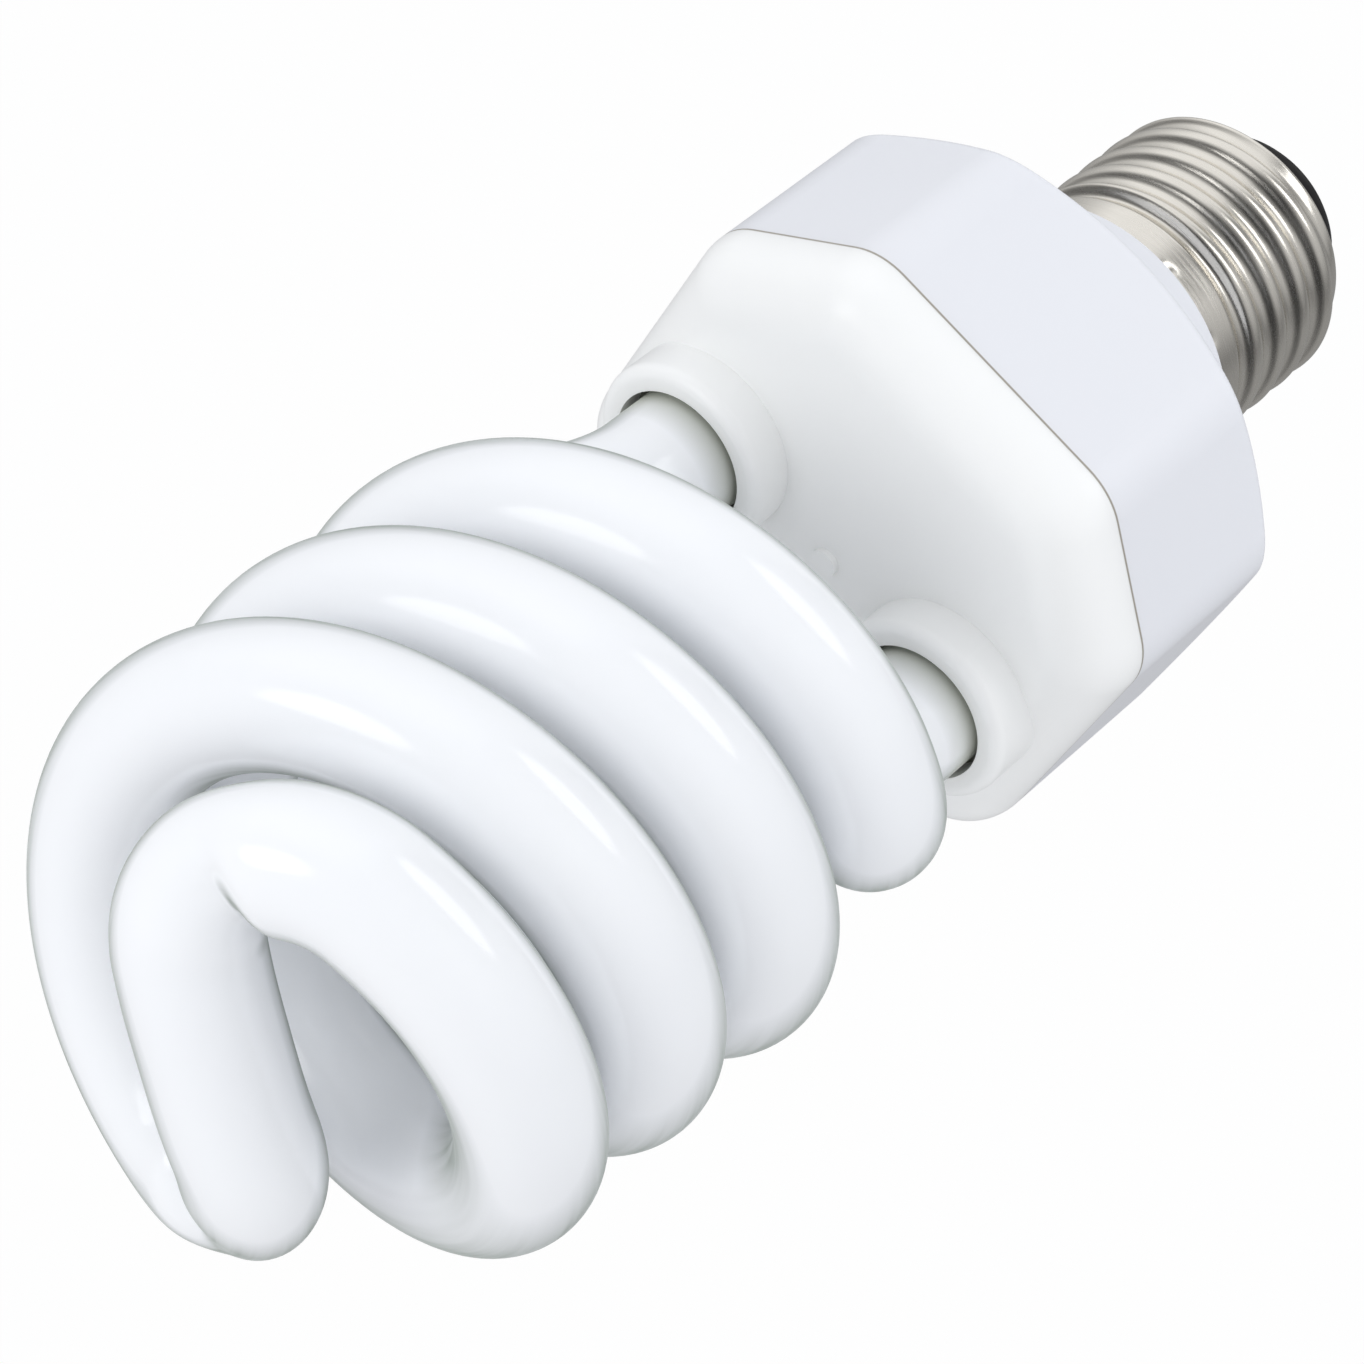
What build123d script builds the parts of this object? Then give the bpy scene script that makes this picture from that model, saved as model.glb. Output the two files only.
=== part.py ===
from build123d import *
import math
import os

os.makedirs("parts", exist_ok=True)

# E27 screw cap, the scale of everything else
thread_pitch = 3.629
thread_start = 5.35
thread_lead = 60.0
thread_turns = 4.1
root_radius = 12.15
thread_depth = 0.95
ridge_radius = 1.03
sheet = 0.35
skirt_step = 0.75
crest_radius = root_radius + thread_depth
skirt_radius = root_radius + skirt_step
skirt_bottom = 22.3
root_top = 21.5
shell_bottom = 4.4
mark_height = 25.5
mark_angles = (-3, -35)

# Housing, from the cap up: neck, cone, then a straight square with cut corners
neck_radius = 14.65
neck_end = 27.0
neck_length = 3.0
shoulder_radius = 16.5
shoulder_rise = 1.975
shoulder_slope = 0.75
seam_flat = 25.2
seam_cut = 27.4
seam_round = 6.5
body_depth = 20.0
wall = 1.6
rim_round = 0.8
lid_height = 6.1
lid_round = 5.8
lid_roof = 1.9
fit_gap = 0.15
tongue_depth = 4.0
tongue_wall = 1.2
collar_radius = 8.6
collar_rise = 4.1
collar_bore = 6.44
collar_lip = 1.1
pip_radius = 1.3
pip_rise = 0.6
neck_top = neck_end + neck_length
shoulder_height = neck_top + shoulder_rise
rim_height = shoulder_height + (seam_flat - shoulder_radius) * shoulder_slope
seam_height = rim_height + body_depth

# Glass tube: a double spiral, sizes measured in the photo against the cap
tube_radius = 5.88
coil_radius = 21.88
coil_pitch = 28.12
coil_rise = 60.85
coil_end_angle = 176.0
crossing_bend = 9.2
crossing_rise = 6.0
crossing_lift = 0.8
leg_offset = 14.58
leg_depth = 1.0
leg_straight = 13.9
leg_join_angle = -406.5
leg_pull = 29.5
coil_pull = 38.8
cement_gap = 0.15
leg_bottom = seam_height - leg_depth
leg_bend_height = seam_height + leg_straight
coil_end_height = leg_bend_height + coil_rise

# Circuit board and what hangs from it
board_radius = 23.2
board_thickness = 1.6
board_top = seam_height - tongue_depth
board_low = board_top - board_thickness
part_room = board_low - rim_height


def housing_outline(flat, cut, rounding):
    """Square with cut corners, rounded, drawn in the open sketch."""
    Rectangle(2 * flat, 2 * flat)
    Rectangle(2 * cut, 2 * cut, rotation=45, mode=Mode.INTERSECT)


def coil_height(angle):
    """Height of the helix of the first arm at an angle in degrees."""
    return coil_end_height - coil_pitch * (coil_end_angle - angle) / 360


def coil_point(angle):
    """Point on the helix of the first arm."""
    a = math.radians(angle)
    return Vector(coil_radius * math.cos(a), coil_radius * math.sin(a), coil_height(angle))


def coil_heading(angle):
    """Unit direction of the helix of the first arm."""
    a = math.radians(angle)
    slope = coil_pitch / (2 * math.pi)
    return Vector(-coil_radius * math.sin(a), coil_radius * math.cos(a), slope).normalized()


def hermite(p0, t0, p1, t1, s):
    """Point at s on the smooth curve between two points with given end directions."""
    a = 2 * s ** 3 - 3 * s ** 2 + 1
    b = s ** 3 - 2 * s ** 2 + s
    c = 3 * s ** 2 - 2 * s ** 3
    d = s ** 3 - s ** 2
    return p0 * a + t0 * b + p1 * c + t1 * d


# Centreline of one arm: leg, bend, helix, inward bend, crossing
leg_base = Vector(0, -leg_offset, leg_bottom)
leg_top = Vector(0, -leg_offset, leg_bend_height)
arm_points = [leg_top]
join_point = coil_point(leg_join_angle)
join_heading = coil_heading(leg_join_angle)
for i in range(1, 9):
    s = i / 9
    arm_points.append(hermite(leg_top, Vector(0, 0, leg_pull), join_point, join_heading * coil_pull, s))
helix_steps = 58
for i in range(helix_steps + 1):
    angle = leg_join_angle + (coil_end_angle - leg_join_angle) * i / helix_steps
    arm_points.append(coil_point(angle))

end_angle = math.radians(coil_end_angle)
outward = Vector(math.cos(end_angle), math.sin(end_angle), 0)
onward = Vector(-math.sin(end_angle), math.cos(end_angle), 0)
bend_centre = coil_radius - crossing_bend
bend_turn = math.pi - math.acos(crossing_bend / bend_centre)
bend_length = crossing_bend * bend_turn
chord_start = outward * (bend_centre + crossing_bend * math.cos(bend_turn))
chord_start = chord_start + onward * (crossing_bend * math.sin(bend_turn))
chord_length = chord_start.length
tail_length = bend_length + chord_length
tail_slope = coil_pitch / (2 * math.pi * coil_radius)


def tail_height(q):
    """Height along the inward bend and crossing, q from 0 to 1."""
    climb = (q ** 3 - 2 * q ** 2 + q) * tail_length * tail_slope
    lift = crossing_lift * 16 * q ** 2 * (1 - q) ** 2
    return coil_end_height + climb + (3 * q ** 2 - 2 * q ** 3) * crossing_rise + lift


for i in range(1, 8):
    u = bend_turn * i / 7
    flat_point = outward * (bend_centre + crossing_bend * math.cos(u)) + onward * (crossing_bend * math.sin(u))
    height = tail_height(bend_length * i / 7 / tail_length)
    arm_points.append(Vector(flat_point.X, flat_point.Y, height))
for i in range(1, 5):
    flat_point = chord_start * (1 - i / 4)
    height = tail_height((bend_length + chord_length * i / 4) / tail_length)
    arm_points.append(Vector(flat_point.X, flat_point.Y, height))
crossing_heading = (chord_start * -1).normalized()

arm_points = [leg_base] + arm_points
side = Vector(1, 0, 0)
with BuildPart() as tube_arm:
    for i, point in enumerate(arm_points):
        if i < 2:
            heading = Vector(0, 0, 1)
        elif i == len(arm_points) - 1:
            heading = crossing_heading
        else:
            heading = (arm_points[i + 1] - arm_points[i - 1]).normalized()
        side = (side - heading * side.dot(heading)).normalized()
        with BuildSketch(Plane(origin=point, x_dir=side, z_dir=heading)):
            Circle(tube_radius)
    loft()

with BuildPart() as discharge_tube:
    add(tube_arm.part)
    add(tube_arm.part.rotate(Axis.Z, 180))
discharge_tube.part.label = "discharge_tube"
export_step(discharge_tube.part, "parts/discharge_tube.step")

# Lower shell: lid with two collars, a pip and a tongue that plugs into the upper shell
lid_top = seam_height + lid_height
with BuildPart() as lower_shell:
    with BuildSketch(Plane.XY.offset(seam_height)) as lid_outline:
        housing_outline(seam_flat, seam_cut, seam_round)
        fillet(lid_outline.vertices(), seam_round)
    extrude(amount=lid_height)
    fillet(lower_shell.faces().sort_by(Axis.Z)[-1].edges(), lid_round)
    with BuildSketch(Plane.XY.offset(lid_top - lid_roof)):
        with Locations((0, leg_offset), (0, -leg_offset)):
            Circle(collar_radius)
    extrude(amount=lid_roof + collar_rise)
    collar_edges = lower_shell.edges().filter_by(GeomType.CIRCLE)
    collar_tops = collar_edges.filter_by_position(Axis.Z, lid_top + collar_rise - 0.01, lid_top + collar_rise + 0.01)
    fillet(collar_tops, collar_lip)
    with BuildSketch(Plane.XY.offset(lid_top - 0.5)):
        Circle(pip_radius)
    extrude(amount=0.5 + pip_rise)
    with BuildSketch(Plane.XY.offset(board_top)) as tongue_outline:
        inset = wall + fit_gap
        housing_outline(seam_flat - inset, seam_cut - inset, seam_round - inset)
        fillet(tongue_outline.vertices(), seam_round - inset)
    extrude(amount=tongue_depth)
    with BuildSketch(Plane.XY.offset(board_top)) as tongue_bore:
        inset = wall + fit_gap + tongue_wall
        housing_outline(seam_flat - inset, seam_cut - inset, seam_round - inset)
        fillet(tongue_bore.vertices(), seam_round - inset)
    extrude(amount=tongue_depth + lid_height - lid_roof, mode=Mode.SUBTRACT)
    with BuildSketch(Plane.XY.offset(lid_top - lid_roof)):
        with Locations((0, leg_offset), (0, -leg_offset)):
            Circle(collar_bore)
    extrude(amount=lid_roof + collar_rise, mode=Mode.SUBTRACT)
lower_shell.part.label = "lower_shell"
export_step(lower_shell.part, "parts/lower_shell.step")

# Tube cement in the two collars
with BuildPart() as tube_cement:
    with BuildSketch(Plane.XY.offset(lid_top - lid_roof)):
        with Locations((0, leg_offset), (0, -leg_offset)):
            Circle(collar_bore)
            Circle(tube_radius + cement_gap, mode=Mode.SUBTRACT)
    extrude(amount=lid_roof + 1.6)
    with BuildSketch(Plane.XY.offset(lid_top - lid_roof - 1.6)):
        with Locations((0, leg_offset), (0, -leg_offset)):
            Circle(collar_bore + 0.8)
            Circle(tube_radius + cement_gap, mode=Mode.SUBTRACT)
    extrude(amount=1.6)
tube_cement.part.label = "tube_cement"
export_step(tube_cement.part, "parts/tube_cement.step")

# Upper shell: a prism cut by a cone, which scallops its rim as on a chamfered nut
cone_reach = seam_flat * math.sqrt(2)
cone_edge = rim_height + (cone_reach - seam_flat) * shoulder_slope
cone_wall = wall * math.sqrt(1 + shoulder_slope ** 2)
spigot_radius = skirt_radius - sheet - 0.1
spigot_bore = 10.8
spigot_end = skirt_bottom + 0.5
rib_depth = 2.6
rib_base = rim_height + 4

with BuildPart() as upper_shell:
    with BuildSketch(Plane.XY.offset(neck_end)) as section:
        housing_outline(seam_flat, seam_cut, seam_round)
        fillet(section.vertices(), seam_round)
    extrude(amount=seam_height - neck_end)
    with BuildSketch(Plane.XZ):
        with BuildLine():
            Polyline(
                (0, neck_end),
                (neck_radius, neck_end),
                (neck_radius, neck_top),
                (shoulder_radius, shoulder_height),
                (cone_reach, cone_edge),
                (cone_reach, seam_height),
                (0, seam_height),
                close=True,
            )
        make_face()
    revolve(axis=Axis.Z, mode=Mode.INTERSECT)
    fillet(upper_shell.edges().filter_by_position(Axis.Z, rim_height - 1, cone_edge), rim_round)
    with BuildSketch(Plane.XY.offset(spigot_end)):
        Circle(spigot_radius)
    extrude(amount=neck_end - spigot_end + 0.5)
    with BuildSketch(Plane.XY.offset(neck_end)) as section:
        housing_outline(seam_flat - wall, seam_cut - wall, seam_round - wall)
        fillet(section.vertices(), seam_round - wall)
    hollow = extrude(amount=seam_height - neck_end, mode=Mode.PRIVATE)
    with BuildSketch(Plane.XZ):
        bore_top = shoulder_height + cone_wall - (shoulder_radius - spigot_bore) * shoulder_slope
        with BuildLine():
            Polyline(
                (0, bore_top),
                (spigot_bore, bore_top),
                (cone_reach, cone_edge + cone_wall),
                (cone_reach, seam_height),
                (0, seam_height),
                close=True,
            )
        make_face()
    room = revolve(axis=Axis.Z, mode=Mode.PRIVATE)
    add(hollow & room, mode=Mode.SUBTRACT)
    with BuildSketch(Plane.XY.offset(spigot_end)):
        Circle(spigot_bore)
    extrude(amount=bore_top - spigot_end + 0.5, mode=Mode.SUBTRACT)
    rib_reach = seam_flat - wall + 0.6
    with BuildSketch(Plane.XY.offset(rib_base)):
        with PolarLocations(rib_reach - rib_depth / 2, 4):
            Rectangle(rib_depth, 2)
    extrude(amount=board_low - rib_base)
upper_shell.part.label = "upper_shell"
export_step(upper_shell.part, "parts/upper_shell.step")

# Screw shell: rolled sheet with a helical ridge, staked to the spigot
thread_radius = crest_radius - ridge_radius
with BuildPart() as thread:
    with BuildLine():
        first = thread_start + thread_pitch * thread_lead / 360
        Helix(thread_pitch, thread_pitch * thread_turns, thread_radius, center=(0, 0, first))
    with BuildSketch(Plane.XZ):
        with Locations((thread_radius, first)):
            Circle(ridge_radius)
    sweep(is_frenet=True)

with BuildPart() as screw_shell:
    with BuildSketch(Plane.XZ):
        with BuildLine():
            Polyline(
                (root_radius - 1.05, shell_bottom),
                (root_radius - 0.4, shell_bottom),
                (root_radius, shell_bottom + 0.5),
                (root_radius, root_top),
                (skirt_radius, skirt_bottom),
                (skirt_radius, neck_end),
                (skirt_radius - sheet, neck_end),
                (skirt_radius - sheet, skirt_bottom),
                (root_radius - sheet, root_top),
                (root_radius - sheet, shell_bottom + sheet + 0.1),
                (root_radius - 1.05, shell_bottom + sheet),
                close=True,
            )
        make_face()
    revolve(axis=Axis.Z)
    add(thread.part.rotate(Axis.Z, thread_lead))
    bore_start = shell_bottom + sheet + 0.1
    with BuildSketch(Plane.XY.offset(bore_start)):
        Circle(root_radius - sheet)
    extrude(amount=root_top - bore_start, mode=Mode.SUBTRACT)
    with Locations((0, 0, mark_height)):
        for angle in mark_angles:
            a = math.radians(angle)
            mark_reach = skirt_radius + 0.7
            with Locations((mark_reach * math.cos(a), mark_reach * math.sin(a), 0)):
                Sphere(0.9, mode=Mode.SUBTRACT)
screw_shell.part.label = "screw_shell"
export_step(screw_shell.part, "parts/screw_shell.step")

# Insulator gripped by the curled end of the screw shell
grip = root_radius - 1.05
contact_radius = 5.0
contact_top = 3.8
with BuildPart() as insulator:
    with BuildSketch(Plane.XZ):
        with BuildLine():
            Polyline(
                (1.1, 1.2),
                (contact_radius + 0.2, 1.2),
                (9.4, 1.5),
                (grip + 0.1, 3.0),
                (grip + 0.1, shell_bottom),
                (grip, shell_bottom),
                (grip, shell_bottom + sheet + 0.1),
                (root_radius - sheet - 0.1, shell_bottom + sheet + 0.25),
                (root_radius - sheet - 0.1, 7.4),
                (9.4, 7.4),
                (8.4, 3.4),
                (1.1, 3.2),
                close=True,
            )
        make_face()
    revolve(axis=Axis.Z)
insulator.part.label = "insulator"
export_step(insulator.part, "parts/insulator.step")

# Centre contact: shallow dome with a small flat and a stem through the insulator
with BuildPart() as centre_contact:
    with BuildSketch(Plane.XZ):
        with BuildLine():
            Polyline(
                (0, 0),
                (2.4, 0),
                (3.8, 0.2),
                (4.7, 0.65),
                (contact_radius, 1.2),
                (0.9, 1.2),
                (0.9, contact_top),
                (0, contact_top),
                close=True,
            )
        make_face()
    revolve(axis=Axis.Z)
centre_contact.part.label = "centre_contact"
export_step(centre_contact.part, "parts/centre_contact.step")

# Circuit board
with BuildPart() as circuit_board:
    with BuildSketch(Plane.XY.offset(board_low)):
        Circle(board_radius)
    extrude(amount=board_thickness)
circuit_board.part.label = "circuit_board"
export_step(circuit_board.part, "parts/circuit_board.step")

# Smoothing capacitor in the middle, hanging into the neck
can_radius = 5.0
can_height = 20.0
with BuildPart() as smoothing_capacitor:
    with BuildSketch(Plane.XY.offset(board_low - can_height)):
        Circle(can_radius)
    extrude(amount=can_height)
    fillet(smoothing_capacitor.edges(), 0.6)
    with BuildSketch(Plane.XZ):
        with BuildLine():
            Polyline(
                (can_radius - 0.35, board_low - 2.4),
                (can_radius + 0.5, board_low - 2.8),
                (can_radius + 0.5, board_low - 2.0),
                close=True,
            )
        make_face()
    revolve(axis=Axis.Z, mode=Mode.SUBTRACT)
smoothing_capacitor.part.label = "smoothing_capacitor"
export_step(smoothing_capacitor.part, "parts/smoothing_capacitor.step")

# Resonant choke: core with two windows, bobbin on the middle leg, winding
choke_x = -13.5
core_width = 12.6
core_height = 11.0
core_depth = 5.0
core_leg = 2.0
core_middle = 3.2
core_yoke = 2.3
core_mid_z = board_low - core_height / 2
window_height = core_height - 2 * core_yoke
with BuildPart() as choke_core:
    with Locations((choke_x, 0, core_mid_z)):
        Box(core_width, core_depth, core_height)
    window = core_width / 2 - core_leg - core_middle / 2
    window_x = core_middle / 2 + window / 2
    with Locations((choke_x + window_x, 0, core_mid_z), (choke_x - window_x, 0, core_mid_z)):
        Box(window, core_depth + 1, window_height, mode=Mode.SUBTRACT)
choke_core.part.label = "choke_core"
export_step(choke_core.part, "parts/choke_core.step")

flange = 0.7
bobbin_wall = 0.7
bobbin_gap = 0.1
neck_x = core_middle + 2 * bobbin_gap + 2 * bobbin_wall
neck_y = core_depth + 2 * bobbin_gap + 2 * bobbin_wall
with BuildPart() as choke_bobbin:
    with Locations((choke_x, 0, core_mid_z)):
        Box(neck_x, neck_y, window_height)
    flange_z = window_height / 2 - flange / 2
    with Locations((choke_x, 0, core_mid_z + flange_z), (choke_x, 0, core_mid_z - flange_z)):
        Box(core_width - 2 * core_leg - 0.2, 12, flange)
    with Locations((choke_x, 0, core_mid_z)):
        Box(core_middle + 2 * bobbin_gap, core_depth + 2 * bobbin_gap, window_height, mode=Mode.SUBTRACT)
choke_bobbin.part.label = "choke_bobbin"
export_step(choke_bobbin.part, "parts/choke_bobbin.step")

with BuildPart() as choke_winding:
    with BuildSketch(Plane.XY.offset(core_mid_z - window_height / 2 + flange)):
        with Locations((choke_x, 0)):
            RectangleRounded(core_width - 2 * core_leg - 0.8, 11.2, 1.5)
            Rectangle(neck_x, neck_y, mode=Mode.SUBTRACT)
    extrude(amount=window_height - 2 * flange)
choke_winding.part.label = "choke_winding"
export_step(choke_winding.part, "parts/choke_winding.step")

# Feedback ring transformer: ferrite ring and three windings
ring_x = 11.0
ring_y = -10.5
ring_outer = 4.6
ring_inner = 2.5
ring_height = 3.6
lay = 0.5
ring_z = board_low - lay - ring_height / 2
with BuildPart() as ring_core:
    with BuildSketch(Plane.XY.offset(ring_z - ring_height / 2)):
        with Locations((ring_x, ring_y)):
            Circle(ring_outer)
            Circle(ring_inner, mode=Mode.SUBTRACT)
    extrude(amount=ring_height)
ring_core.part.label = "ring_core"
export_step(ring_core.part, "parts/ring_core.step")

with BuildPart() as ring_windings:
    for start in (0, 120, 240):
        with BuildSketch(Plane(origin=(ring_x, ring_y, ring_z), x_dir=(1, 0, 0), z_dir=(0, -1, 0))):
            middle = (ring_outer + ring_inner) / 2
            width = ring_outer - ring_inner
            with Locations((middle, 0)):
                Rectangle(width + 2 * lay, ring_height + 2 * lay)
                Rectangle(width, ring_height, mode=Mode.SUBTRACT)
        ring_axis = Axis((ring_x, ring_y, 0), (0, 0, 1))
        arc = revolve(axis=ring_axis, revolution_arc=58, mode=Mode.PRIVATE)
        add(arc.rotate(ring_axis, start))
ring_windings.part.label = "ring_windings"
export_step(ring_windings.part, "parts/ring_windings.step")

# Two switching transistors on three leads each
body_width = 7.6
body_thick = 2.6
body_height = part_room * 0.75
lead_length = body_height / 3.6
transistor_x = 13.0
for number, transistor_y in enumerate((1.5, 11.0), 1):
    with BuildPart() as transistor:
        with Locations((transistor_x, transistor_y, board_low - lead_length - body_height / 2)):
            Box(body_thick, body_width, body_height)
        with Locations((transistor_x, transistor_y, board_low - lead_length / 2)):
            with GridLocations(0, 2.3, 1, 3):
                Box(0.5, 0.8, lead_length)
    transistor.part.label = f"transistor_{number}"
    export_step(transistor.part, f"parts/transistor_{number}.step")


def axial_part(body_radius, body_length, span):
    """Axial body along Y with two leads bent up to the board, seated at height zero."""
    lead_radius = 0.35
    hang = body_radius + 0.3
    with BuildPart() as axial:
        with Locations((0, 0, -hang)):
            Cylinder(body_radius, body_length, rotation=(90, 0, 0))
            Cylinder(lead_radius, span + 2 * lead_radius, rotation=(90, 0, 0))
        with Locations((0, span / 2, -hang / 2), (0, -span / 2, -hang / 2)):
            Cylinder(lead_radius, hang)
    return axial.part


# Rectifier: four diodes side by side
diode_radius = 1.3
diode_length = 4.2
diode_span = 8.0
diode_pitch = 3.4
diode_x = -14.6
diode_y = 12.6
diode = axial_part(diode_radius, diode_length, diode_span)
with BuildPart() as rectifier_diodes:
    for i in range(4):
        add(diode.moved(Location((diode_x + diode_pitch * i, diode_y, board_low))))
rectifier_diodes.part.label = "rectifier_diodes"
export_step(rectifier_diodes.part, "parts/rectifier_diodes.step")

# Resistors and the trigger diode
resistor = axial_part(1.1, 5.6, 9.0)
with BuildPart() as resistors:
    for x in (-1.4, 1.8):
        add(resistor.moved(Location((x, -12.4, board_low))))
resistors.part.label = "resistors"
export_step(resistors.part, "parts/resistors.step")

small_diode = axial_part(0.9, 3.6, 7.0)
with BuildPart() as trigger_diode:
    add(small_diode.moved(Location((4.6, -11.0, board_low))))
trigger_diode.part.label = "trigger_diode"
export_step(trigger_diode.part, "parts/trigger_diode.step")

# Fusible resistor, standing
with BuildPart() as fuse_resistor:
    with Locations((-6.6, -10.6, board_low - 5.4)):
        Cylinder(1.7, 7.2)
    with Locations((-6.6, -10.6, board_low - 0.9)):
        Cylinder(0.35, 1.8)
fuse_resistor.part.label = "fuse_resistor"
export_step(fuse_resistor.part, "parts/fuse_resistor.step")

# Two film capacitors with rounded cases
resonant_size = Vector(4.6, 10.0, 9.0)
resonant_x = 6.6
resonant_y = 15.0
resonant_round = 1.0
with BuildPart() as resonant_capacitor:
    with Locations((resonant_x, resonant_y, board_low - resonant_size.Z / 2)):
        Box(resonant_size.X, resonant_size.Y, resonant_size.Z)
    fillet(resonant_capacitor.edges(), resonant_round)
resonant_capacitor.part.label = "resonant_capacitor"
export_step(resonant_capacitor.part, "parts/resonant_capacitor.step")

film_size = Vector(3.4, 7.0, 7.0)
film_x = 18.2
film_y = -2.8
film_round = 0.8
with BuildPart() as film_capacitor:
    with Locations((film_x, film_y, board_low - film_size.Z / 2)):
        Box(film_size.X, film_size.Y, film_size.Z)
    fillet(film_capacitor.edges(), film_round)
film_capacitor.part.label = "film_capacitor"
export_step(film_capacitor.part, "parts/film_capacitor.step")

# Input filter choke: drum core and winding
drum_x = -12.4
drum_y = -11.4
drum_radius = 3.6
drum_neck = 1.8
drum_height = 8.0
drum_flange = 1.2
with BuildPart() as filter_core:
    with BuildSketch(Plane.XY.offset(board_low - drum_height)):
        with Locations((drum_x, drum_y)):
            Circle(drum_radius)
    extrude(amount=drum_height)
    with BuildSketch(Plane.XY.offset(board_low - drum_height + drum_flange)):
        with Locations((drum_x, drum_y)):
            Circle(drum_radius + 1)
            Circle(drum_neck, mode=Mode.SUBTRACT)
    extrude(amount=drum_height - 2 * drum_flange, mode=Mode.SUBTRACT)
filter_core.part.label = "filter_core"
export_step(filter_core.part, "parts/filter_core.step")

with BuildPart() as filter_winding:
    with BuildSketch(Plane.XY.offset(board_low - drum_height + drum_flange)):
        with Locations((drum_x, drum_y)):
            Circle(drum_radius - 0.3)
            Circle(drum_neck, mode=Mode.SUBTRACT)
    extrude(amount=drum_height - 2 * drum_flange)
filter_winding.part.label = "filter_winding"
export_step(filter_winding.part, "parts/filter_winding.step")

# Wrap pins on the tube side of the board
pin_size = 0.9
pin_height = 2.6
pin_spots = [(9.5, leg_offset), (-9.5, leg_offset), (9.5, -leg_offset), (-9.5, -leg_offset)]
with BuildPart() as wrap_pins:
    for x, y in pin_spots:
        with Locations((x, y, board_top + pin_height / 2)):
            Box(pin_size, pin_size, pin_height)
wrap_pins.part.label = "wrap_pins"
export_step(wrap_pins.part, "parts/wrap_pins.step")

# Filament lead wires from the leg ends to the pins
lead_radius = 0.25
lead_bend = 0.9
lead_height = board_top + 1.4
with BuildPart() as filament_leads:
    for x, y in pin_spots:
        side = math.copysign(1, x)
        start = Vector(side * 1.6, y, leg_bottom)
        corner = Vector(side * 1.6, y, lead_height)
        stop = Vector(x - side * pin_size / 2, y, lead_height)
        with BuildPart(mode=Mode.PRIVATE) as lead:
            with BuildLine():
                FilletPolyline(start, corner, stop, radius=lead_bend)
            with BuildSketch(Plane(origin=start, z_dir=(0, 0, -1))):
                Circle(lead_radius)
            sweep()
        add(lead.part)
filament_leads.part.label = "filament_leads"
export_step(filament_leads.part, "parts/filament_leads.step")

# Supply wires: one to the centre contact, one to the screw shell
wire_radius = 0.6
wire_bend = 3.0
live_start = Vector(-6.6, -10.6, board_low - 9.0)
wire_turn = rim_height - 2.5
live_route = [live_start, (-6.6, -10.6, wire_turn), (0, 0, wire_turn - 16), (0, 0, contact_top)]
with BuildPart() as live_wire:
    with BuildLine():
        FilletPolyline(*live_route, radius=wire_bend)
    with BuildSketch(Plane(origin=live_start, z_dir=(0, 0, -1))):
        Circle(wire_radius)
    sweep()
live_wire.part.label = "live_wire"
export_step(live_wire.part, "parts/live_wire.step")

neutral_start = Vector(6.4, -6.0, board_low)
solder_height = 17.4
neutral_route = [
    neutral_start,
    (6.4, -6.0, wire_turn - 6),
    (7.2, 0, solder_height),
    (root_radius - sheet, 0, solder_height),
]
with BuildPart() as neutral_wire:
    with BuildLine():
        FilletPolyline(*neutral_route, radius=2.0)
    with BuildSketch(Plane(origin=neutral_start, z_dir=(0, 0, -1))):
        Circle(wire_radius)
    sweep()
neutral_wire.part.label = "neutral_wire"
export_step(neutral_wire.part, "parts/neutral_wire.step")
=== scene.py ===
import math

import bpy
from mathutils import Matrix, Vector


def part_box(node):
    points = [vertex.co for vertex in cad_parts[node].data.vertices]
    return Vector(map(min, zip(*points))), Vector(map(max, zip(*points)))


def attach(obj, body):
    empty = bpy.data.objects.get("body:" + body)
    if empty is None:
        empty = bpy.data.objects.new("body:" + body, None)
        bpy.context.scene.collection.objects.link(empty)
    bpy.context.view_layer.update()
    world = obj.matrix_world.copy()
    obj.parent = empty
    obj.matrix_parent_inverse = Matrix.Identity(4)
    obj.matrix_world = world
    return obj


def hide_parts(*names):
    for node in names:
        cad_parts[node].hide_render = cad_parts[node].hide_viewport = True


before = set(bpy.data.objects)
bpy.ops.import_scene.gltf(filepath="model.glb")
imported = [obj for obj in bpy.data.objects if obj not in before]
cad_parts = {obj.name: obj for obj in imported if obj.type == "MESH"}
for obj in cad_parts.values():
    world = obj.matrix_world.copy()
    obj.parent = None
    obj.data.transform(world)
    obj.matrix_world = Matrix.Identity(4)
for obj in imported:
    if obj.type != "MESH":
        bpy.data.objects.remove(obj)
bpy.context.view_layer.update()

bl_info = {
    "name": "Spiral lamp",
    "version": (1, 0, 0),
    "blender": (4, 5, 0),
    "location": "View3D > Sidebar > Lamp",
    "description": "Dresses the packed model of a spiral tube lamp with a screw cap",
    "category": "Object",
}

MM = 0.001
LIP_DEPTH = 4.0 * MM
SEAM_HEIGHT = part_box("lower_shell")[0].z + LIP_DEPTH
GRAIN_LOW, GRAIN_HIGH = 0.3, 0.7


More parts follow.
